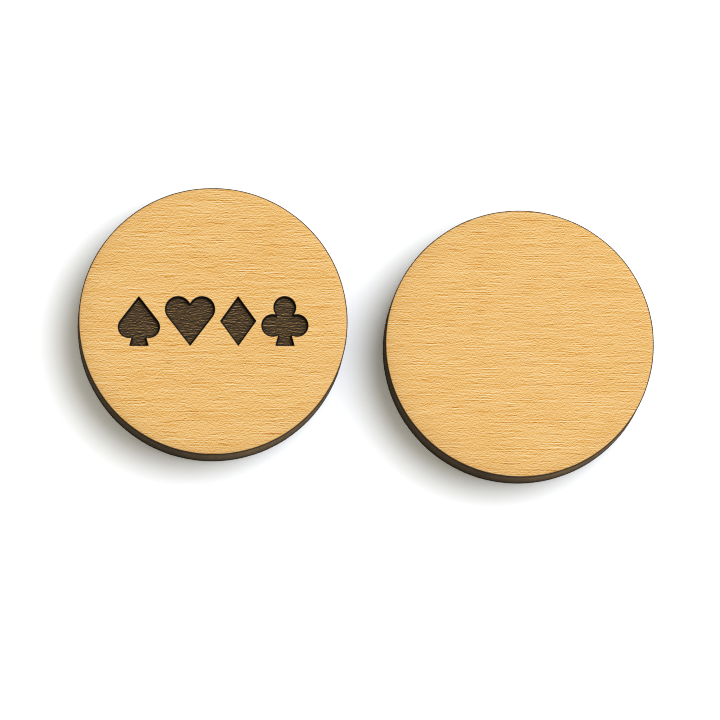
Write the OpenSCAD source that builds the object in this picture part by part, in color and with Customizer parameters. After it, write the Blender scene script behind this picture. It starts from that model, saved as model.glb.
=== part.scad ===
// Pair of laser-cut plywood game tokens: one has an engraved face, the other is plain.
// Each token is a three-ply disc. A face veneer, a core ply and a back veneer are bonded by two glue films.
// Millimetres. The origin is the middle of the engraved token's underside, with +Z up
// and +X along the grain of the outer veneers. The grain of the core ply runs along Y.

/* [Token] */
// Diameter of each token
token_d = 25; // [20:0.5:40]
// Width and height of the burnt, eased rim on each outer veneer
rim_ease = 0.12; // [0.05:0.01:0.3]

/* [Plywood] */
// Thickness of the face veneer
face_t = 1; // [0.8:0.1:2]
// Thickness of the core ply
core_t = 2.8; // [1:0.1:4]
// Thickness of the back veneer
back_t = 1; // [0.8:0.1:2]
// Thickness of each glue film
glue_t = 0.1; // [0.05:0.01:0.2]

/* [Engraving] */
// Height of the engraved figures
mark_h = 4.6; // [3:0.1:5.5]
// Clear space between neighbouring figures
mark_gap = 0.5; // [0.2:0.1:1]
// Depth of the engraving
engrave_depth = 0.5; // [0.2:0.05:0.7]

/* [Pair] */
// Clear space between the tokens along X
token_gap = 3.4; // [1:0.1:20]
// How far the plain token lies towards -Y of the engraved one
token_step = 2.1; // [0:0.1:10]

/* [Hidden] */
$fn = 96;
token_r = token_d / 2;

// Height of each layer's underside, from the table up
back_z = 0;
back_glue_z = back_z + back_t;
core_z = back_glue_z + glue_t;
face_glue_z = core_z + core_t;
face_z = face_glue_z + glue_t;
token_t = face_z + face_t;

// Where the plain token stands
plain_at = [token_d + token_gap, -token_step, 0];

// A heart: two round lobes and the two straight sides that run from inside them to the tip
lobe_share = 0.26;
lobe_out_share = 0.24;
side_share = 0.97;
heart_w = 2 * (lobe_share + lobe_out_share) * mark_h;

// A spade: a heart on its head, cut short to leave room for the stem
spade_body_h = 0.84 * mark_h;
spade_w = 2 * (lobe_share + lobe_out_share) * spade_body_h;

// The stem that the spade and the club share, from their foot to their middle
stem_h = mark_h / 2;
stem_foot_w = 0.38 * mark_h;
stem_neck_w = 0.1 * mark_h;

// A diamond
diamond_w = 0.72 * mark_h;

// A club: three round leaves about one middle
leaf_r = 0.225 * mark_h;
leaf_out = 0.245 * mark_h;
leaf_low_y = -0.09 * mark_h;
leaf_top_y = mark_h / 2 - leaf_r;
club_w = 2 * (leaf_out + leaf_r);

// The row of figures, left to right
figure_w = [spade_w, heart_w, diamond_w, club_w];
last_figure = len(figure_w) - 1;
function row_start(i) = i == 0 ? 0 : row_start(i - 1) + figure_w[i - 1] + mark_gap;
row_w = row_start(last_figure) + figure_w[last_figure];
function figure_x(i) = row_start(i) + figure_w[i] / 2 - row_w / 2;

// How far the engraving's cutter reaches above the face
cutter_over = 1;

// Beech, beech on the cross grain, the resin film and their burnt look
face_colour = "#ecbe76";
core_colour = "#4e4332";
glue_colour = "#241d14";

// The point where a line from tip grazes a circle, on its right (side -1) or its left (side 1)
function graze(tip, centre, r, side) =
    let (
        to_centre = centre - tip,
        away = norm(to_centre),
        reach = sqrt(away * away - r * r),
        turn = side * asin(r / away),
        way = to_centre / away
    )
    tip + reach * [
        way.x * cos(turn) - way.y * sin(turn),
        way.x * sin(turn) + way.y * cos(turn)
    ];

// A heart of height h, middle at the origin, tip down
module heart(h) {
    lobe_r = lobe_share * h;
    lobe = [lobe_out_share * h, h / 2 - lobe_r];
    tip = [0, -h / 2];
    side = graze(tip, lobe, side_share * lobe_r, -1);
    for (way = [-1, 1])
        translate([way * lobe.x, lobe.y])
            circle(lobe_r);
    polygon([tip, side, lobe, [-lobe.x, lobe.y], [-side.x, side.y]]);
}

// The splayed stem under a spade or a club
module stem() {
    foot_y = -mark_h / 2;
    neck_y = foot_y + stem_h;
    polygon([
        [-stem_foot_w / 2, foot_y], [stem_foot_w / 2, foot_y],
        [stem_neck_w / 2, neck_y], [-stem_neck_w / 2, neck_y]
    ]);
}

module spade() {
    translate([0, (mark_h - spade_body_h) / 2])
        rotate(180)
            heart(spade_body_h);
    stem();
}

module diamond() {
    polygon([
        [0, mark_h / 2], [diamond_w / 2, 0],
        [0, -mark_h / 2], [-diamond_w / 2, 0]
    ]);
}

module club() {
    leaves = [[0, leaf_top_y], [-leaf_out, leaf_low_y], [leaf_out, leaf_low_y]];
    for (at = leaves)
        translate(at)
            circle(leaf_r);
    polygon(leaves);
    stem();
}

// The row of four figures, flat
module figure_row() {
    translate([figure_x(0), 0]) spade();
    translate([figure_x(1), 0]) heart(mark_h);
    translate([figure_x(2), 0]) diamond();
    translate([figure_x(3), 0]) club();
}

// A full disc between two heights
module layer(z, t) {
    translate([0, 0, z])
        cylinder(h = t, r = token_r);
}

// An outer veneer, with its eased rim on top
module eased_layer(t) {
    rotate_extrude()
        polygon([
            [0, 0], [token_r, 0], [token_r, t - rim_ease],
            [token_r - rim_ease, t], [0, t]
        ]);
}

module face_layer() {
    translate([0, 0, face_z])
        eased_layer(face_t);
}

module back_layer() {
    translate([0, 0, back_z + back_t])
        mirror([0, 0, 1])
            eased_layer(back_t);
}

module engraved_face_veneer() {
    color(face_colour)
        difference() {
            face_layer();
            translate([0, 0, token_t - engrave_depth])
                linear_extrude(engrave_depth + cutter_over)
                    figure_row();
        }
}

module engraved_face_glue() {
    color(glue_colour) layer(face_glue_z, glue_t);
}

module engraved_core_ply() {
    color(core_colour) layer(core_z, core_t);
}

module engraved_back_glue() {
    color(glue_colour) layer(back_glue_z, glue_t);
}

module engraved_back_veneer() {
    color(face_colour) back_layer();
}

module plain_face_veneer() {
    color(face_colour) translate(plain_at) face_layer();
}

module plain_face_glue() {
    color(glue_colour) translate(plain_at) layer(face_glue_z, glue_t);
}

module plain_core_ply() {
    color(core_colour) translate(plain_at) layer(core_z, core_t);
}

module plain_back_glue() {
    color(glue_colour) translate(plain_at) layer(back_glue_z, glue_t);
}

module plain_back_veneer() {
    color(face_colour) translate(plain_at) back_layer();
}

engraved_face_veneer();
engraved_face_glue();
engraved_core_ply();
engraved_back_glue();
engraved_back_veneer();
plain_face_veneer();
plain_face_glue();
plain_core_ply();
plain_back_glue();
plain_back_veneer();
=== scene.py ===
# Pair of laser-cut beech plywood game tokens, one engraved and one plain, in a white studio
import math

import bpy
import numpy as np
from mathutils import Matrix, Vector, noise
from mathutils.geometry import delaunay_2d_cdt


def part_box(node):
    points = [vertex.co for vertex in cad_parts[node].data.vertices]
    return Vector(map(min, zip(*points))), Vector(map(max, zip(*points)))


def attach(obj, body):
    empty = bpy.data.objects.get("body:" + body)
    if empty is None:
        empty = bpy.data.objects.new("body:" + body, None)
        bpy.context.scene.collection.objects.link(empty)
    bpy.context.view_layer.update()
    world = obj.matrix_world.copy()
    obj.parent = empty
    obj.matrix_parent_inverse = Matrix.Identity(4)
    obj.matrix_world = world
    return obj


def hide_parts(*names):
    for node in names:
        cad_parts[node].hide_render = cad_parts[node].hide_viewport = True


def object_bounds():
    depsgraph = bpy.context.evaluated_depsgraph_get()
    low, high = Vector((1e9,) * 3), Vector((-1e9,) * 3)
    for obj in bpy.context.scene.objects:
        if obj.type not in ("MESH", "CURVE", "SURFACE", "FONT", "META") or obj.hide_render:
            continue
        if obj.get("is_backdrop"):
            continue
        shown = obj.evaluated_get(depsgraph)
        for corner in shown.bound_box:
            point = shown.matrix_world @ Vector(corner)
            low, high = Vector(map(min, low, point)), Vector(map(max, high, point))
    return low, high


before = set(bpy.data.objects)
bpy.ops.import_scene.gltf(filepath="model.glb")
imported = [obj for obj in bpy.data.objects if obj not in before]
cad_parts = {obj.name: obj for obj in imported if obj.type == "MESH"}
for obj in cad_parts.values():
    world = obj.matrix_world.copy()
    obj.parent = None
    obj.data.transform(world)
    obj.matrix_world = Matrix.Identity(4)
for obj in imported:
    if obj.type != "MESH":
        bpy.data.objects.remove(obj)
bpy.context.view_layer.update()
mm = 0.001  # shapes and patterns are drawn in millimetres, and Blender works in metres
noiseMiddle = 0.5  # what a noise texture gives on average
print("frame loaded:", len(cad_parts), "nodes")


def linear(code):
    parts = [int(code[i:i + 2], 16) / 255 for i in (1, 3, 5)]
    return [c / 12.92 if c <= 0.04045 else ((c + 0.055) / 1.055) ** 2.4 for c in parts] + [1.0]


def addNode(tree, kind, links=None, stops=None, **settings):
    # links: socket name or number -> another node's output, or a plain value; stops: place -> hex colour
    node = tree.nodes.new(kind)
    for name, value in settings.items():
        setattr(node, name, value)
    for socket, value in (links or {}).items():
        if isinstance(value, bpy.types.NodeSocket):
            tree.links.new(value, node.inputs[socket])
        else:
            node.inputs[socket].default_value = value
    if stops:
        marks = node.color_ramp.elements
        while len(marks) < len(stops):
            marks.new(1.0)
        for mark, (place, code) in zip(marks, sorted(stops.items())):
            mark.position = place
            mark.color = linear(code)
    return node


def startMaterial(name):
    material = bpy.data.materials.new(name)
    material.use_nodes = True
    tree = material.node_tree
    return material, tree, tree.nodes["Principled BSDF"]


# Where the tokens lie and how thick their layers are, from the frame
tokens = {}
for tokenName in ("engraved", "plain"):
    low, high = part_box(f"{tokenName}_core_ply")
    tokens[tokenName] = {
        "body": f"{tokenName}_token",
        "place": Vector(((low.x + high.x) / 2, (low.y + high.y) / 2, 0)),
        "radius": (high.x - low.x) / 2 / mm,
        "height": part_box(f"{tokenName}_face_veneer")[1].z / mm,
    }


# Sanded beech veneer. Rotary-cut and sanded, so the face is flat and matt: a fine, pebbly grain of tan lines
# of every length, each with a painted highlight at its side, a paler line that stands in for the light on its
# relief, and here and there a longer, darker streak. Towards the rim, on the side turned away from the
# softbox, shade is painted on it.
beech = {
    "stops": {0.0: "#a25c00", 0.16: "#bc7b10", 0.31: "#c28e3a",
              0.5: "#d0a35f", 0.69: "#d7b57b", 1.0: "#dccaa0"},
    "toasted": "#54341a",   # beside a laser cut
    "paintedShade": "#7a4a14",    # painted shade towards the rim, on the side turned away from the softbox
    "paintedShadeMost": 0.2,      # how much of the painted shade shows at the rim
    "lines": {0.12: 1.6, 0.3: 1.0, 0.8: 1.05, 2.2: 1.3, 6.0: 1.4},  # mm long: how dark
    "lineWide": 0.09,       # mm; real fibres are about 0.02 across, drawn coarser so that they show
    "highlightAside": 0.09,      # mm from a dark line to the painted highlight beside it
    "highlightShare": 0.9,       # how bright the painted highlight is, as a share of how dark its line is
    "dashOver": 0.5,        # mm; lines longer than this come and go
    "dashLong": 2.5,        # mm over which they do
    "dashWide": 0.5,
    "dashFrom": 0.35,       # the noise below which a line fades
    "dashTo": 0.65,         # and above which it is whole
    "dashFaint": 0.1,       # what is left of a line where it fades
    "bands": {14.0: (1.8, 0.18), 5.0: (0.5, 0.35)},  # mm long: mm wide and how dark, the broad soft streaks
    "vesselLong": 2.4,      # mm, the scattered open vessels, which show as thin darker streaks
    "vesselWide": 0.1,
    "vesselFew": 0.28,      # the lower, the fewer
    "vesselSoft": 0.08,
    "vesselDark": 0.8,
    "dashAside": 17.0,      # mm; parts of the grain that lie far aside have nothing in common
    "vesselAside": 333.0,
    "linesAside": 40.0,     # mm from one kind of line or band to the next
    "spread": 1.3,          # how much of the lines' sum the colours span
    "swayLong": 9.0,        # mm over which the grain wanders
    "swayWide": 2.0,
    "sway": 0.3,
    "toastWide": 0.07,      # mm
    "relief": 0.01,         # mm
    "roughness": 0.62,
    "specular": 0.25,       # sanded fibres scatter most of the shine
}


def sandedBeech(name, shift):
    material, tree, skin = startMaterial(name)
    place = addNode(tree, "ShaderNodeTexCoord").outputs["Object"]
    place = addNode(tree, "ShaderNodeMapping", {
        "Vector": place, "Location": shift, "Scale": (1 / mm, 1 / mm, 1 / mm)}).outputs[0]
    cell = addNode(tree, "ShaderNodeVectorMath", {
        0: place, 1: (1 / beech["swayLong"], 1 / beech["swayWide"], 1 / beech["swayWide"])},
        operation="MULTIPLY").outputs[0]
    push = addNode(tree, "ShaderNodeTexNoise", {
        "Vector": cell, "Scale": 1.0, "Detail": 1.0}).outputs["Color"]
    grain = addNode(tree, "ShaderNodeVectorMath", {
        0: push, 1: (0.0, beech["sway"], 0.0), 2: place}, operation="MULTIPLY_ADD").outputs[0]

    # Each part of the grain: mm long, mm wide, mm aside, how dark
    parts = {
        "dash": (beech["dashLong"], beech["dashWide"], beech["dashAside"], 0.0),
        "vessel": (beech["vesselLong"], beech["vesselWide"], beech["vesselAside"], 0.0),
    }
    aside = 0.0
    for long, dark in beech["lines"].items():
        aside += beech["linesAside"]
        parts["darkLine", long] = (long, beech["lineWide"], aside, dark)
        # each dark line gets a painted highlight: a paler copy of it, shifted to one side
        parts["paleLine", long] = (
            long, beech["lineWide"], aside + beech["highlightAside"], -beech["highlightShare"] * dark)
    for long, (wide, dark) in beech["bands"].items():
        aside += beech["linesAside"]
        parts["band", long] = (long, wide, aside, dark)
    noises = {}
    for part, (long, wide, aside, dark) in parts.items():
        cell = addNode(tree, "ShaderNodeVectorMath", {
            0: grain, 1: (1 / long, 1 / wide, 1 / wide), 2: (0.0, aside / wide, 0.0)},
            operation="MULTIPLY_ADD").outputs[0]
        noises[part] = addNode(tree, "ShaderNodeTexNoise", {
            "Vector": cell, "Scale": 1.0, "Detail": 0.0}).outputs["Fac"]

    dash = addNode(tree, "ShaderNodeMapRange", {
        "Value": noises.pop("dash"), "From Min": beech["dashFrom"], "From Max": beech["dashTo"],
        "To Min": beech["dashFaint"], "To Max": 1.0}).outputs[0]
    total = addNode(tree, "ShaderNodeMapRange", {
        "Value": noises.pop("vessel"), "From Min": beech["vesselFew"] - beech["vesselSoft"],
        "From Max": beech["vesselFew"], "To Min": -beech["vesselDark"], "To Max": 0.0}).outputs[0]
    for part, tone in noises.items():
        tone = addNode(tree, "ShaderNodeMath", {0: tone, 1: noiseMiddle}, operation="SUBTRACT").outputs[0]
        if part[0] != "band" and part[1] > beech["dashOver"]:
            tone = addNode(tree, "ShaderNodeMath", {0: tone, 1: dash}, operation="MULTIPLY").outputs[0]
        total = addNode(tree, "ShaderNodeMath", {
            0: tone, 1: parts[part][3], 2: total}, operation="MULTIPLY_ADD").outputs[0]
    value = addNode(tree, "ShaderNodeMapRange", {
        "Value": total, "From Min": -beech["spread"], "From Max": beech["spread"]}).outputs[0]
    wood = addNode(tree, "ShaderNodeValToRGB", {"Fac": value}, stops=beech["stops"]).outputs["Color"]

    # Painted shade darkens the face towards the rim, on the side turned away from the softbox, and the heat
    # of the laser browns the wood close to a cut
    bareAndLit = addNode(tree, "ShaderNodeAttribute", attribute_name="bareAndLit").outputs["Fac"]
    shadeShare = addNode(tree, "ShaderNodeMapRange", {
        "Value": bareAndLit, "To Min": beech["paintedShadeMost"], "To Max": 0.0}).outputs[0]
    wood = addNode(tree, "ShaderNodeMixRGB", {
        "Fac": shadeShare, "Color1": wood, "Color2": linear(beech["paintedShade"])}).outputs["Color"]
    gap = addNode(tree, "ShaderNodeAttribute", attribute_name="cutGap").outputs["Fac"]
    toast = addNode(tree, "ShaderNodeMapRange", {
        "Value": gap, "From Max": beech["toastWide"], "To Min": 1.0, "To Max": 0.0}).outputs[0]
    colour = addNode(tree, "ShaderNodeMixRGB", {
        "Fac": toast, "Color1": wood, "Color2": linear(beech["toasted"])}).outputs["Color"]
    bump = addNode(tree, "ShaderNodeBump", {
        "Height": value, "Distance": beech["relief"] * mm, "Strength": 1.0}).outputs["Normal"]
    tree.links.new(colour, skin.inputs["Base Color"])
    tree.links.new(bump, skin.inputs["Normal"])
    skin.inputs["Roughness"].default_value = beech["roughness"]
    skin.inputs["Specular IOR Level"].default_value = beech["specular"]
    return material


# Laser-cut edge of beech. The beam leaves a matt skin of char: a black line along each face and brown between
# them, with faint fibres that turn across the grain in the core. Shade is painted on the brown: darker
# towards the foot, and on the side turned away from the softbox.
charredEdge = {
    "veneer": {"pale": "#8a7352", "dark": "#120d07"},
    "core": {"pale": "#87704e", "dark": "#1f180e"},
    "fibreLong": 1.6,       # mm
    "fibreWide": 0.12,
    "fibreShare": 0.3,      # how much the fibres change the char
    "relief": 0.01,         # mm
    "roughness": 0.95,
    "specular": 0.06,       # char scatters light and hardly shines
}


def laserEdge(name, colours, turn):
    material, tree, skin = startMaterial(name)
    place = addNode(tree, "ShaderNodeTexCoord").outputs["Object"]
    grain = addNode(tree, "ShaderNodeMapping", {
        "Vector": place, "Rotation": (0, 0, turn), "Scale": (1 / mm, 1 / mm, 1 / mm)}).outputs[0]
    across = 1 / charredEdge["fibreWide"]
    cell = addNode(tree, "ShaderNodeVectorMath", {
        0: grain, 1: (1 / charredEdge["fibreLong"], across, across)}, operation="MULTIPLY").outputs[0]
    fibres = addNode(tree, "ShaderNodeTexNoise", {
        "Vector": cell, "Scale": 1.0, "Detail": 2.0}).outputs["Fac"]
    # How bare of char the edge is, with painted shade towards the foot and on the side turned away from the
    # softbox
    bareAndLit = addNode(tree, "ShaderNodeAttribute", attribute_name="bareAndLit").outputs["Fac"]
    tone = addNode(tree, "ShaderNodeMapRange", {
        "Value": fibres, "To Min": 1 - charredEdge["fibreShare"],
        "To Max": 1 + charredEdge["fibreShare"]}).outputs[0]
    tone = addNode(tree, "ShaderNodeMath", {
        0: tone, 1: bareAndLit}, operation="MULTIPLY", use_clamp=True).outputs[0]
    colour = addNode(tree, "ShaderNodeMixRGB", {
        "Fac": tone, "Color1": linear(colours["dark"]), "Color2": linear(colours["pale"])}).outputs["Color"]
    bump = addNode(tree, "ShaderNodeBump", {
        "Height": fibres, "Distance": charredEdge["relief"] * mm, "Strength": 1.0}).outputs["Normal"]
    tree.links.new(colour, skin.inputs["Base Color"])
    tree.links.new(bump, skin.inputs["Normal"])
    skin.inputs["Roughness"].default_value = charredEdge["roughness"]
    skin.inputs["Specular IOR Level"].default_value = charredEdge["specular"]
    return material


# Cured resin glue, cut by the laser: it burns to a hard, nearly black line between the plies.
glueLine = {
    "pale": "#241c13",
    "dark": "#0d0a07",
    "grain": 0.2,           # mm
    "roughness": 0.55,
    "ior": 1.55,
    "specular": 0.25,       # soot dulls the resin's shine
}


def burntResin(name):
    material, tree, skin = startMaterial(name)
    place = addNode(tree, "ShaderNodeTexCoord").outputs["Object"]
    specks = addNode(tree, "ShaderNodeTexNoise", {
        "Vector": place, "Scale": 1 / (glueLine["grain"] * mm), "Detail": 2.0}).outputs["Fac"]
    colour = addNode(tree, "ShaderNodeMixRGB", {
        "Fac": specks, "Color1": linear(glueLine["pale"]),
        "Color2": linear(glueLine["dark"])}).outputs["Color"]
    tree.links.new(colour, skin.inputs["Base Color"])
    skin.inputs["Roughness"].default_value = glueLine["roughness"]
    skin.inputs["IOR"].default_value = glueLine["ior"]
    skin.inputs["Specular IOR Level"].default_value = glueLine["specular"]
    return material


# Laser-engraved beech. The beam scans along the grain and leaves a burnt, wrinkled brown floor, where harder
# fibres stand up, and black walls. Each dark streak on the floor has a painted highlight beside it, a paler
# line that stands in for the light on the wrinkles.
engravedFloor = {
    "stops": {0.0: "#080502", 0.3: "#221a0e", 0.5: "#3c2d18", 0.7: "#5e4526", 1.0: "#967748"},
    "wall": "#100d09",
    "wallFoot": -0.2,       # mm inside the outline, where the floor begins
    "wallTop": -0.11,
    "lines": {0.15: 1.1, 0.4: 1.1, 1.2: 0.9},  # mm long: how dark
    "lineWide": 0.085,      # mm; the beam's passes lie about 0.05 apart, drawn coarser so that they show
    "highlightAside": 0.09,      # mm from a dark line to the painted highlight beside it
    "highlightShare": 0.9,
    "linesAside": 40.0,     # mm from one kind of line to the next
    "spread": 0.9,
    "relief": 0.015,        # mm
    "roughness": 0.8,
    "specular": 0.2,
}


def engravedBeech(name):
    material, tree, skin = startMaterial(name)
    place = addNode(tree, "ShaderNodeTexCoord").outputs["Object"]
    place = addNode(tree, "ShaderNodeMapping", {
        "Vector": place, "Scale": (1 / mm, 1 / mm, 1 / mm)}).outputs[0]
    total, start = 0.0, 0.0
    for long, dark in engravedFloor["lines"].items():
        start += engravedFloor["linesAside"]
        # pale: where the painted highlight beside each dark line lies
        pale = start + engravedFloor["highlightAside"]
        for aside, weight in ((start, dark), (pale, -engravedFloor["highlightShare"] * dark)):
            cell = addNode(tree, "ShaderNodeVectorMath", {
                0: place, 1: (1 / long, 1 / engravedFloor["lineWide"], 1.0),
                2: (0.0, aside / engravedFloor["lineWide"], 0.0)}, operation="MULTIPLY_ADD").outputs[0]
            tone = addNode(tree, "ShaderNodeTexNoise", {
                "Vector": cell, "Scale": 1.0, "Detail": 0.0}).outputs["Fac"]
            tone = addNode(tree, "ShaderNodeMath", {0: tone, 1: noiseMiddle}, operation="SUBTRACT").outputs[0]
            total = addNode(tree, "ShaderNodeMath", {
                0: tone, 1: weight, 2: total}, operation="MULTIPLY_ADD").outputs[0]
    value = addNode(tree, "ShaderNodeMapRange", {
        "Value": total, "From Min": -engravedFloor["spread"], "From Max": engravedFloor["spread"]}).outputs[0]
    floor = addNode(tree, "ShaderNodeValToRGB", {"Fac": value}, stops=engravedFloor["stops"]).outputs["Color"]
    gap = addNode(tree, "ShaderNodeAttribute", attribute_name="cutGap").outputs["Fac"]
    wall = addNode(tree, "ShaderNodeMapRange", {
        "Value": gap, "From Min": engravedFloor["wallFoot"], "From Max": engravedFloor["wallTop"]}).outputs[0]
    colour = addNode(tree, "ShaderNodeMixRGB", {
        "Fac": wall, "Color1": floor, "Color2": linear(engravedFloor["wall"])}).outputs["Color"]
    bump = addNode(tree, "ShaderNodeBump", {
        "Height": value, "Distance": engravedFloor["relief"] * mm, "Strength": 1.0}).outputs["Normal"]
    tree.links.new(colour, skin.inputs["Base Color"])
    tree.links.new(bump, skin.inputs["Normal"])
    skin.inputs["Roughness"].default_value = engravedFloor["roughness"]
    skin.inputs["Specular IOR Level"].default_value = engravedFloor["specular"]
    return material


# How the faces are filled and the meshes finished
fill = {
    "keepInside": 1,        # the triangulation leaves out what lies outside the rim
    "joinWithin": 1e-5,     # mm
    "lipSlack": 1e-6,       # mm
    "open": 0.8,            # mm between dots on a plain face
    "engraved": 0.7,        # and on the engraved one
    "hidden": 1.6,          # and where two layers meet
    "rimClear": 0.8,        # mm that these dots keep off the rim
    "gapMost": 1.0,         # mm; how far a cut lies beyond this no longer matters
    "sharp": 40.0,          # degrees; a sharper bend gets a crisp edge
}
faceSlot, edgeSlot, floorSlot = 0, 1, 2  # the materials of a veneer, in order


# Every piece is gathered as points and faces in millimetres about its token's axis
def startShape():
    return {"points": [], "gap": [], "bareAndLit": [], "faces": [], "slots": []}


def addPoints(shape, points, gap, bareAndLit):
    start = len(shape["points"])
    shape["points"].extend(map(tuple, points))
    shape["gap"].extend(np.broadcast_to(gap, len(points)))
    shape["bareAndLit"].extend(np.broadcast_to(bareAndLit, len(points)))
    return list(range(start, start + len(points)))


def addBand(shape, lower, upper, slot):
    count = len(lower)
    for i in range(count):
        j = (i + 1) % count
        shape["faces"].append((lower[i], lower[j], upper[j], upper[i]))
        shape["slots"].append(slot)


def paintedShadeFree(rimRadius, spots):
    # How free of painted shade a face is; the painted shade fades inwards, and towards the side that faces
    # the softbox
    inset = np.clip(rimRadius - np.hypot(*spots.T), 0, None)
    turn = np.arctan2(spots[:, 1], spots[:, 0]) - math.radians(laserCut["shadeSide"])
    side = 0.5 + 0.5 * np.cos(turn)
    return 1 - side * np.exp(-inset / laserCut["shadeReach"])


def fillFace(shape, rim, loops, dots, settle, upward):
    # A face inside the rim: closed loops and loose dots become triangles, and settle gives heights and gaps
    rimFlat = [shape["points"][i][:2] for i in rim]
    flat, edges = list(rimFlat), []
    for loop in [rimFlat] + loops:
        start = 0 if loop is rimFlat else len(flat)
        if start:
            flat.extend(map(tuple, loop))
        edges += [(start + i, start + (i + 1) % len(loop)) for i in range(len(loop))]
    flat.extend(map(tuple, dots))
    made, _, faces, origins, _, _ = delaunay_2d_cdt(
        [Vector(p) for p in flat], edges, [], fill["keepInside"], fill["joinWithin"])
    spots = np.array([tuple(p) for p in made])
    heights, gaps = settle(spots)
    # painted shade on the face, towards the rim on the side turned away from the softbox
    bareAndLit = paintedShadeFree(np.hypot(*rimFlat[0]), spots)
    index = {}
    for i, origin in enumerate(origins):
        onRim = [o for o in origin if o < len(rim)]
        if onRim:
            index[i] = rim[onRim[0]]
        else:
            index[i] = addPoints(shape, [(*spots[i], heights[i])], gaps[i], bareAndLit[i])[0]
    for face in faces:
        corners = [index[i] for i in face]
        shape["faces"].append(tuple(corners if upward else reversed(corners)))
        inside = max(gaps[i] for i in face) <= engraving["lip"] + fill["lipSlack"]
        shape["slots"].append(floorSlot if inside else faceSlot)


def makePiece(name, token, node, shape, materials):
    mesh = bpy.data.meshes.new(name)
    mesh.from_pydata(np.array(shape["points"]) * mm, [], shape["faces"])
    mesh.polygons.foreach_set("material_index", shape["slots"])
    # the second attribute holds how bare of char a point is, together with painted shade
    for key, label in (("gap", "cutGap"), ("bareAndLit", "bareAndLit")):
        values = np.array(shape[key], np.float32)
        mesh.attributes.new(label, "FLOAT", "POINT").data.foreach_set("value", values)
    for material in materials:
        mesh.materials.append(material)
    mesh.shade_smooth()
    mesh.set_sharp_from_angle(angle=math.radians(fill["sharp"]))
    mesh.validate()
    piece = bpy.data.objects.new(name, mesh)
    piece.location = tokens[token]["place"]
    bpy.context.scene.collection.objects.link(piece)
    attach(piece, tokens[token]["body"])
    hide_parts(node)
    print("made", name, len(mesh.polygons), "faces")


# What the laser leaves on a cut edge
laserCut = {
    "seeds": {"engraved": 11, "plain": 29},
    "steps": 1600,          # points round the rim
    "rows": 0.14,           # mm between rows of points down the edge
    "pulsePitch": 0.24,     # mm; real pulses lie about 0.05 apart, drawn coarser so that they show
    "pulseDepth": 0.014,    # mm
    "pulseRates": (0.7, 1.3),  # the slowest and the fastest, as shares of their mean
    "pulseWaves": 14,
    "trail": 0.3,           # mm that a pulse mark leans back on its way down
    "wander": 0.015,        # mm, slow unevenness of the cut
    "slowRates": (3, 40),   # waves round the rim
    "slowWaves": 12,
    "smearRates": (20, 160),
    "smearWaves": 14,
    "waveTop": 1.4,         # keeps most of a sum of waves between -1 and 1
    "taper": 0.03,          # mm; the beam narrows, so the foot of the token is the wider end
    "rimRound": 0.06,       # mm, the burnt edge of the rim
    "rimSteps": 5,
    "rimDots": {0.03: 1.0, 0.08: 0.5, 0.16: 0.5, 0.26: 0.25, 0.38: 0.25, 0.5: 0.125},  # mm in: share of steps
    "easeWide": 0.5,        # mm, the soft shoulder that sanding leaves inside the rim
    "easeDrop": 0.035,
    "burnReach": 0.6,       # mm down from the face where the char is heaviest
    "burnReachBack": 0.95,  # mm up from the back
    "bareInShade": 0.21,      # how much brown shows through the char on the side turned away from the softbox, darkened there by painted shade
    "bareInLight": 0.6,        # and on the lit side
    "shadeSide": 215.0,     # degrees; the side turned away from the softbox, where shade is painted
    "shadeNear": 40.0,      # degrees to either side over which the painted shade is full
    "shadeFar": 70.0,       # degrees to either side where the painted shade ends
    "shadeReach": 0.9,      # mm in from the rim over which shade is painted on the face
    "footShade": 0.75,       # painted shade: how much of the brown is lost on the way down to the floor
    "rimBare": 0.15,        # the brown of the rounded rim
    "pulseTone": 0.06,      # how much the marks of the cut change the brown
    "smearTone": 0.06,
    "slowTone": 0.1,
    "glueSunk": 0.03,       # mm; the glue burns back a little further than the wood
}
turns = np.linspace(0, 2 * math.pi, laserCut["steps"], endpoint=False)


def waves(seed, low, high, count):
    # A seeded wave round the rim that closes on itself, mostly from -1 to 1
    draw = np.random.RandomState(seed)
    rates = draw.randint(low, high, count)
    starts = draw.uniform(0, 2 * math.pi, count)
    return lambda angle: (
        np.cos(np.outer(angle, rates) + starts).sum(1) / math.sqrt(count) / laserCut["waveTop"])


def upToOne(wave):
    return 0.5 + 0.5 * np.clip(wave, -1, 1)


def cutRing(token, z, sunk=0.0):
    # The cut's outline at a height, and how bare of char it is, with shade painted on the side turned away
    # from the softbox and towards the floor
    radius, height = tokens[token]["radius"], tokens[token]["height"]
    seed = laserCut["seeds"][token]
    pulseCount = 2 * math.pi * radius / laserCut["pulsePitch"]
    depth = 1 - z / height
    lean = turns + laserCut["trail"] / radius * depth ** 2
    pulseRates = [int(share * pulseCount) for share in laserCut["pulseRates"]]
    pulse = waves(seed, *pulseRates, laserCut["pulseWaves"])(lean)
    slow = waves(seed + 1, *laserCut["slowRates"], laserCut["slowWaves"])(turns)
    smear = waves(seed + 2, *laserCut["smearRates"], laserCut["smearWaves"])(lean)
    inward = (laserCut["pulseDepth"] * upToOne(pulse) + laserCut["wander"] * upToOne(slow)
              + laserCut["taper"] * z / height + sunk)
    at = radius - inward
    # painted shade: less brown shows on the side turned away from the softbox
    away = np.abs((np.degrees(turns) - laserCut["shadeSide"] + 180) % 360 - 180)
    bareAndLit = np.interp(away, (laserCut["shadeNear"], laserCut["shadeFar"]),
                     (laserCut["bareInShade"], laserCut["bareInLight"]))
    bareAndLit *= 1 + laserCut["pulseTone"] * pulse + laserCut["smearTone"] * smear + laserCut["slowTone"] * slow
    # painted shade: the brown darkens towards the foot, next to the floor
    return at, bareAndLit * (1 - laserCut["footShade"] * depth)


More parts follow.
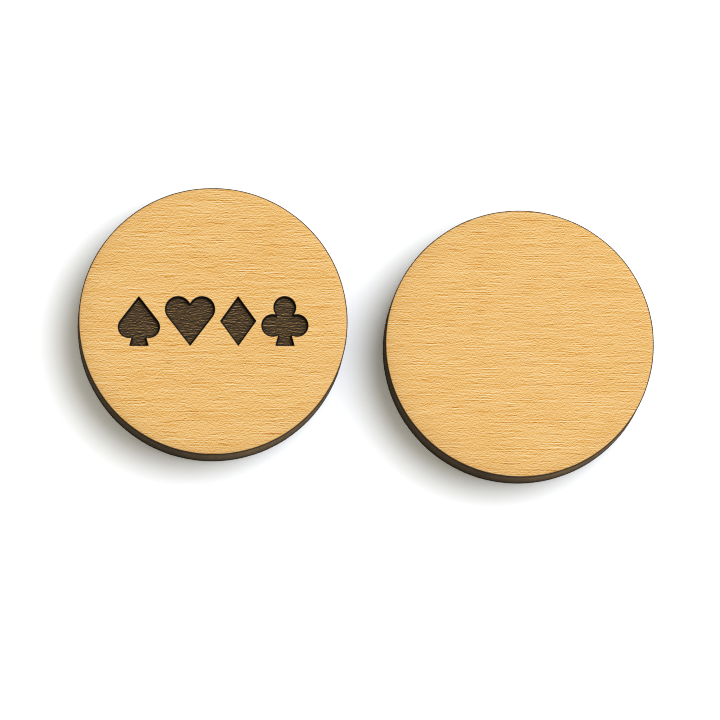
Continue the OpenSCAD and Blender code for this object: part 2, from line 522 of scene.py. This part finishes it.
def addRing(shape, at, z, bareAndLit):
    ring = np.stack([at * np.cos(turns), at * np.sin(turns), np.full(len(turns), z)], 1)
    return addPoints(shape, ring, 0.0, bareAndLit)


def ringRadii(shape, ring):
    return np.hypot(*np.array([shape["points"][i][:2] for i in ring]).T)


def addEdge(shape, token, low, high, slot, sunk=0.0, face=None):
    # The cut edge from one height to another, blackest close to a face; returns its first and last ring
    rows = max(1, round((high - low) / laserCut["rows"]))
    rings = []
    for z in np.linspace(low, high, rows + 1):
        at, bareAndLit = cutRing(token, z, sunk)
        if face is not None:
            reach = laserCut["burnReach" if face > z else "burnReachBack"]
            bareAndLit = bareAndLit * (1 - math.exp(-abs(z - face) / reach))
        rings.append(addRing(shape, at, z, bareAndLit))
    for lower, upper in zip(rings, rings[1:]):
        addBand(shape, lower, upper, slot)
    return rings[0], rings[-1]


def addRim(shape, ring, z, rise, slot):
    # The eased rim, from the edge's last ring over to the flat face; rise is 1 on top and -1 underneath
    edgeAt = ringRadii(shape, ring)
    bareAndLit = np.array([shape["bareAndLit"][i] for i in ring])
    last = ring
    for step in range(1, laserCut["rimSteps"] + 1):
        bend = math.pi / 2 * step / laserCut["rimSteps"]
        at = edgeAt - laserCut["rimRound"] * (1 - math.cos(bend))
        up = z + rise * laserCut["rimRound"] * math.sin(bend)
        worn = math.sin(bend) ** 2
        new = addRing(shape, at, up, bareAndLit * (1 - worn) + laserCut["rimBare"] * worn)
        if rise > 0:
            addBand(shape, last, new, slot)
        else:
            addBand(shape, new, last, slot)
        last = new
    return last


def rimDots(radius):
    # Dots that thin out from the dense rim to the open middle of a face
    dots = []
    for inset, share in laserCut["rimDots"].items():
        count = int(laserCut["steps"] * share)
        angles = np.linspace(0, 2 * math.pi, count, endpoint=False)
        dots.append(np.stack([(radius - inset) * np.cos(angles), (radius - inset) * np.sin(angles)], 1))
    return np.concatenate(dots)


def easedDrop(rimRadius, spots):
    # How far the sanded shoulder falls away close to the rim
    inset = np.clip(rimRadius - np.hypot(*spots.T), 0, laserCut["easeWide"])
    return laserCut["easeDrop"] * (1 - inset / laserCut["easeWide"]) ** 2


def rimGap(rimRadius, spots):
    return np.clip(rimRadius - np.hypot(*spots.T), 0, fill["gapMost"])


def meshDots(spacing, reach):
    # A field of dots on a triangular grid
    rise = spacing * math.sqrt(3) / 2
    rows = int(reach / rise) + 1
    columns = int(reach / spacing) + 1
    dots = np.array([((i + 0.5 * (j % 2)) * spacing, j * rise)
                     for j in range(-rows, rows + 1) for i in range(-columns, columns + 1)])
    return dots[np.hypot(*dots.T) < reach]


def addCap(shape, ring, z, upward):
    # A plain hidden face where two layers meet
    settle = lambda spots: (np.full(len(spots), z), np.full(len(spots), fill["gapMost"]))
    reach = tokens["plain"]["radius"] - fill["rimClear"]
    fillFace(shape, ring, [], meshDots(fill["hidden"], reach), settle, upward)


# The engraved figures: four card suits in a row, each drawn round its own middle
engraving = {
    "height": 4.6,          # mm
    "gap": 0.5,             # mm between figures
    "depth": 0.5,
    "lip": 0.02,            # mm that the burnt wall reaches past the outline
    "wall": 0.14,           # mm from the lip to the floor, seen from above
    "step": 0.06,           # mm between points along an outline
    "ridge": 0.025,         # mm, how far the hard fibres stand up on the floor
    "ridgeLong": 1.3,
    "ridgeWide": 0.24,
    "ridgeFade": 0.1,       # mm from the foot of the wall over which they rise
    "ridgeSlice": 3.7,      # where in the noise they are cut
    "outside": (0.3, 0.12),  # mm, loops round the outline that lead over to the open face
    "lipClear": 0.03,       # mm from the lip to the last of these loops
    "wallRows": 6,
    "footClear": 0.06,      # mm from the foot of the wall to the one loop on the floor
    "dots": 0.1,            # mm between points on the floor
    "floorClear": 0.1,      # mm that they keep off the foot of the wall
    "faceClear": 0.4,       # mm that the open face's dots keep off the outline
    "rowReach": 9.5,        # mm from the middle of the row to past its ends
    "rays": 2400,           # from a figure's middle to its outline
    "halvings": 40,         # that find where a ray meets it
    "cornerKeep": 0.97,     # a moved point closer to the outline than this share has crossed over
    "nearFigure": 1.0,      # mm round a figure in which the distance to it is worked out
    "farGap": 9.0,          # mm, taken for everything further off
}
suitShares = {  # of a figure's height
    "lobe": 0.26,           # radius of a heart's lobes
    "lobeOut": 0.24,        # from the middle out to a lobe's centre
    "spadeBody": 0.84,      # the spade without its stem
    "leaf": 0.225,          # radius of a club's leaves
    "leafOut": 0.245,
    "leafLow": -0.09,
    "diamond": 0.36,        # half its width
    "stemFoot": 0.19,       # half its width at the foot
    "stemNeck": 0.05,       # and at the neck
}


def heartParts(h, way=1, shift=0.0):
    # Two round lobes and the straight sides that graze them; way -1 turns the heart over
    lobeR, lobeX = suitShares["lobe"] * h, suitShares["lobeOut"] * h
    lobeY, tip = h / 2 - lobeR, np.array([0, -h / 2])
    toLobe = np.array([lobeX, lobeY]) - tip
    away = np.hypot(*toLobe)
    turn = -math.asin(lobeR / away)
    reach = math.sqrt(away ** 2 - lobeR ** 2) / away
    side = tip + reach * np.array([toLobe[0] * math.cos(turn) - toLobe[1] * math.sin(turn),
                                   toLobe[0] * math.sin(turn) + toLobe[1] * math.cos(turn)])
    place = lambda x, y: (way * x, way * y + shift)
    circles = [(*place(lobeX, lobeY), lobeR), (*place(-lobeX, lobeY), lobeR)]
    sides = [place(*tip), place(*side), place(lobeX, lobeY), place(-lobeX, lobeY), place(-side[0], side[1])]
    return circles, [sides]


def stemPart(h):
    foot, neck = suitShares["stemFoot"] * h, suitShares["stemNeck"] * h
    return [(-foot, -h / 2), (foot, -h / 2), (neck, 0), (-neck, 0)]


def suitParts(h):
    # Each suit: its width, the round parts, the straight-sided parts
    body = suitShares["spadeBody"] * h
    spadeRound, spadeSides = heartParts(body, -1, (h - body) / 2)
    heartRound, heartSides = heartParts(h)
    leafR, leafX, leafY = [suitShares[key] * h for key in ("leaf", "leafOut", "leafLow")]
    leaves = [(0, h / 2 - leafR), (-leafX, leafY), (leafX, leafY)]
    half = suitShares["diamond"] * h
    return [
        (body, spadeRound, spadeSides + [stemPart(h)]),
        (h, heartRound, heartSides),
        (2 * half, [], [[(0, h / 2), (half, 0), (0, -h / 2), (-half, 0)]]),
        (2 * (leafX + leafR), [(*leaf, leafR) for leaf in leaves], [leaves, stemPart(h)]),
    ]


def inFigure(circles, polygons, spots):
    # Negative inside the figure, and zero on its outline
    fields = [np.hypot(spots[:, 0] - x, spots[:, 1] - y) - r for x, y, r in circles]
    for corners in polygons:
        loop = np.array(corners)
        ahead = np.roll(loop, -1, 0) - loop
        area = (loop[:, 0] * np.roll(loop[:, 1], -1) - loop[:, 1] * np.roll(loop[:, 0], -1)).sum()
        out = np.stack([ahead[:, 1], -ahead[:, 0]], 1) * np.sign(area)
        out /= np.hypot(*out.T)[:, None]
        fields.append(((spots[:, None] - loop) * out).sum(2).max(1))
    return np.min(fields, 0)


def figureOutline(circles, polygons):
    # Every ray from a figure's middle leaves it once, so halving finds the outline; even steps then follow it
    angles = np.linspace(0, 2 * math.pi, engraving["rays"], endpoint=False)
    rays = np.stack([np.cos(angles), np.sin(angles)], 1)
    near, far = np.zeros(len(angles)), np.full(len(angles), engraving["height"])
    for _ in range(engraving["halvings"]):
        middle = (near + far) / 2
        inside = inFigure(circles, polygons, rays * middle[:, None]) < 0
        near, far = np.where(inside, middle, near), np.where(inside, far, middle)
    loop = rays * near[:, None]
    lengths = np.hypot(*(np.roll(loop, -1, 0) - loop).T)
    along = np.concatenate([[0], np.cumsum(lengths)])
    steps = np.linspace(0, along[-1], int(along[-1] / engraving["step"]), endpoint=False)
    closed = np.concatenate([loop, loop[:1]])
    return np.stack([np.interp(steps, along, closed[:, k]) for k in (0, 1)], 1)


def distanceTo(outline, spots):
    ahead = np.roll(outline, -1, 0) - outline
    best = np.full(len(spots), np.inf)
    for start, way in zip(outline, ahead):
        share = np.clip(((spots - start) @ way) / (way @ way), 0, 1)
        best = np.minimum(best, np.hypot(*(spots - start - share[:, None] * way).T))
    return best


def offsetLoop(outline, out):
    # The outline moved out (or in) along its normals, without the points that cross over at a corner
    ahead = np.roll(outline, -1, 0) - np.roll(outline, 1, 0)
    normal = np.stack([ahead[:, 1], -ahead[:, 0]], 1) / np.hypot(*ahead.T)[:, None]
    moved = outline + out * normal
    return moved[distanceTo(outline, moved) > engraving["cornerKeep"] * abs(out)]


def figureRow():
    suits = suitParts(engraving["height"])
    width = sum(s[0] for s in suits) + engraving["gap"] * (len(suits) - 1)
    figures, x = [], -width / 2
    for suitWidth, circles, polygons in suits:
        at = np.array([x + suitWidth / 2, 0])
        outline = figureOutline(circles, polygons)
        figures.append({"at": at, "circles": circles, "polygons": polygons, "outline": outline})
        x += suitWidth + engraving["gap"]
    return figures


def figureGap(figures, spots):
    # Distance from the nearest figure, negative inside it
    gap = np.full(len(spots), engraving["farGap"])
    for figure in figures:
        local = spots - figure["at"]
        near = np.abs(local).max(1) < engraving["height"] / 2 + engraving["nearFigure"]
        away = distanceTo(figure["outline"], local[near])
        inside = inFigure(figure["circles"], figure["polygons"], local[near]) < 0
        gap[near] = np.minimum(gap[near], np.where(inside, -away, away))
    return gap


def openFill(z, rimRadius, rise):
    # Loops, dots and heights of a bare face; rise is 1 on top and -1 underneath
    dots = [rimDots(rimRadius), meshDots(fill["open"], rimRadius - fill["rimClear"])]
    settle = lambda spots: (z - rise * easedDrop(rimRadius, spots), rimGap(rimRadius, spots))
    return [], np.concatenate(dots), settle


def engravedFill(top, rimRadius):
    # The same for the engraved face
    figures = figureRow()
    lip, foot = engraving["lip"], engraving["lip"] - engraving["wall"]
    levels = [*engraving["outside"], lip + engraving["lipClear"],
              *np.linspace(lip, foot, engraving["wallRows"]), foot - engraving["footClear"]]
    loops = [offsetLoop(f["outline"], level) + f["at"] for f in figures for level in levels]
    fine = meshDots(engraving["dots"], engraving["rowReach"])
    fine = fine[np.abs(fine[:, 1]) < engraving["height"] / 2]
    fine = fine[figureGap(figures, fine) < foot - engraving["floorClear"]]
    coarse = [rimDots(rimRadius), meshDots(fill["engraved"], rimRadius - fill["rimClear"])]
    coarse = np.concatenate(coarse)
    coarse = coarse[figureGap(figures, coarse) > engraving["faceClear"]]

    def settle(spots):
        gap = figureGap(figures, spots)
        share = np.clip((lip - gap) / engraving["wall"], 0, 1)
        cells = spots / (engraving["ridgeLong"], engraving["ridgeWide"])
        ridges = np.array([noise.noise((*cell, engraving["ridgeSlice"])) for cell in cells])
        sink = engraving["depth"] * share ** 2 * (3 - 2 * share)
        inner = np.clip((foot - gap) / engraving["ridgeFade"], 0, 1)
        height = top - sink - easedDrop(rimRadius, spots) + engraving["ridge"] * ridges * inner
        return height, np.minimum(gap, rimGap(rimRadius, spots))

    return loops, np.concatenate([fine, coarse]), settle


def faceVeneer(token, node, materials):
    low, high = [corner.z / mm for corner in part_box(node)]
    shape = startShape()
    shoulder = high - laserCut["easeDrop"] - laserCut["rimRound"]
    bottom, top = addEdge(shape, token, low, shoulder, edgeSlot, face=high)
    rim = addRim(shape, top, shoulder, 1, edgeSlot)
    addCap(shape, bottom, low, False)
    rimRadius = ringRadii(shape, rim).mean()
    if token == "engraved":
        filling = engravedFill(high, rimRadius)
    else:
        filling = openFill(high, rimRadius, 1)
    fillFace(shape, rim, *filling, True)
    makePiece(f"{token}FaceVeneer", token, node, shape, materials)


def backVeneer(token, node, materials):
    low, high = [corner.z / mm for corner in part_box(node)]
    shape = startShape()
    shoulder = low + laserCut["easeDrop"] + laserCut["rimRound"]
    bottom, top = addEdge(shape, token, shoulder, high, edgeSlot, face=low)
    rim = addRim(shape, bottom, shoulder, -1, edgeSlot)
    addCap(shape, top, high, True)
    rimRadius = ringRadii(shape, rim).mean()
    fillFace(shape, rim, *openFill(low, rimRadius, -1), False)
    makePiece(f"{token}BackVeneer", token, node, shape, materials)


def innerLayer(token, name, node, material, sunk):
    low, high = [corner.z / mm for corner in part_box(node)]
    shape = startShape()
    bottom, top = addEdge(shape, token, low, high, faceSlot, sunk)
    addCap(shape, bottom, low, False)
    addCap(shape, top, high, True)
    makePiece(f"{token}{name}", token, node, shape, [material])


veneerEdge = laserEdge("laserCharredVeneerEdge", charredEdge["veneer"], 0.0)
coreEdge = laserEdge("laserBrownedCoreEdge", charredEdge["core"], math.pi / 2)
resin = burntResin("burntResinGlueLine")
engravedWood = engravedBeech("laserEngravedBeech")
grainShift = {"engraved": (3.0, 41.0, 7.0), "plain": (60.0, 13.0, 29.0)}  # mm; no two faces share their grain
backShift = 85.0
for tokenName, shift in grainShift.items():
    faceWood = sandedBeech(f"{tokenName}SandedBeechFace", shift)
    backWood = sandedBeech(f"{tokenName}SandedBeechBack", tuple(s + backShift for s in shift))
    faceVeneer(tokenName, f"{tokenName}_face_veneer", [faceWood, veneerEdge, engravedWood])
    innerLayer(tokenName, "FaceGlue", f"{tokenName}_face_glue", resin, laserCut["glueSunk"])
    innerLayer(tokenName, "CorePly", f"{tokenName}_core_ply", coreEdge, 0.0)
    innerLayer(tokenName, "BackGlue", f"{tokenName}_back_glue", resin, laserCut["glueSunk"])
    backVeneer(tokenName, f"{tokenName}_back_veneer", [backWood, veneerEdge])


# White studio: a paper floor, a large softbox from the upper right and even light all round
studio = {
    "floorSize": 3.0,       # m
    "floorDrop": 0.02,      # mm under the tokens
    "floor": "#fbfbfb",
    "world": "#fffae9",
    "worldStrength": 0.605,
    "softbox": {
        "power": 18.1,      # W
        "wide": 1.1,        # m
        "away": 1.2,        # m
        "swing": 27.0,      # degrees from +X towards +Y
        "rise": 58.0,       # degrees above the floor
        "colour": "#edf3ff",
    },
}


def matteFloor():
    material, _, skin = startMaterial("mattWhitePaper")
    skin.inputs["Base Color"].default_value = linear(studio["floor"])
    skin.inputs["Roughness"].default_value = 1.0
    skin.inputs["Specular IOR Level"].default_value = 0.0
    half = studio["floorSize"] / 2
    mesh = bpy.data.meshes.new("floor")
    drop = -studio["floorDrop"] * mm
    mesh.from_pydata([(-half, -half, drop), (half, -half, drop), (half, half, drop), (-half, half, drop)],
                     [], [(0, 1, 2, 3)])
    mesh.materials.append(material)
    floor = bpy.data.objects.new("floor", mesh)
    bpy.context.scene.collection.objects.link(floor)
    floor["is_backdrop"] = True


def areaLight(name, aim):
    box = studio[name]
    swing, rise = math.radians(box["swing"]), math.radians(box["rise"])
    way = Vector((math.cos(rise) * math.cos(swing), math.cos(rise) * math.sin(swing), math.sin(rise)))
    lamp = bpy.data.lights.new(name, "AREA")
    lamp.shape = "DISK"
    lamp.size = box["wide"]
    lamp.energy = box["power"]
    lamp.color = linear(box["colour"])[:3]
    light = bpy.data.objects.new(name, lamp)
    light.location = aim + way * box["away"]
    light.rotation_euler = (-way).to_track_quat("-Z", "Y").to_euler()
    bpy.context.scene.collection.objects.link(light)


# The picture is taken from almost straight above, with a long lens
view = {
    "aim": (13.58, -3.64, 5.0),   # mm, what lies in the middle of the picture
    "frame": 66.63,               # mm across the picture at that point
    "away": 820.0,                # mm
    "lean": 7.9,                  # degrees from straight above
    "swing": 18.0,                # degrees, the lean's turn from -Y towards -X
    "sensor": 36.0,               # mm
    "clip": 10.0,                 # m, as far as the camera sees
}


def camera():
    lean, swing = math.radians(view["lean"]), math.radians(view["swing"])
    back = Vector((-math.sin(lean) * math.sin(swing), -math.sin(lean) * math.cos(swing), math.cos(lean)))
    right = (Vector((1, 0, 0)) - back * back.x).normalized()
    up = back.cross(right)
    data = bpy.data.cameras.new("camera")
    data.sensor_width = view["sensor"]
    data.lens = view["sensor"] * view["away"] / view["frame"]
    data.clip_end = view["clip"]
    eye = bpy.data.objects.new("camera", data)
    place = Vector(view["aim"]) * mm + back * view["away"] * mm
    eye.matrix_world = Matrix.Translation(place) @ Matrix((right, up, back)).transposed().to_4x4()
    bpy.context.scene.collection.objects.link(eye)
    bpy.context.scene.camera = eye


matteFloor()
areaLight("softbox", Vector(view["aim"]) * mm)
camera()
world = bpy.data.worlds.new("studio")
world.use_nodes = True
world.node_tree.nodes["Background"].inputs["Color"].default_value = linear(studio["world"])
world.node_tree.nodes["Background"].inputs["Strength"].default_value = studio["worldStrength"]
bpy.context.scene.world = world
bpy.context.scene.view_settings.view_transform = "Standard"
bpy.context.scene.cycles.filter_width = 1.0  # px, a crisp lens
bpy.context.scene.cycles.denoising_prefilter = "NONE"  # keeps the finest grain
print("studio ready")

low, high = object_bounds()
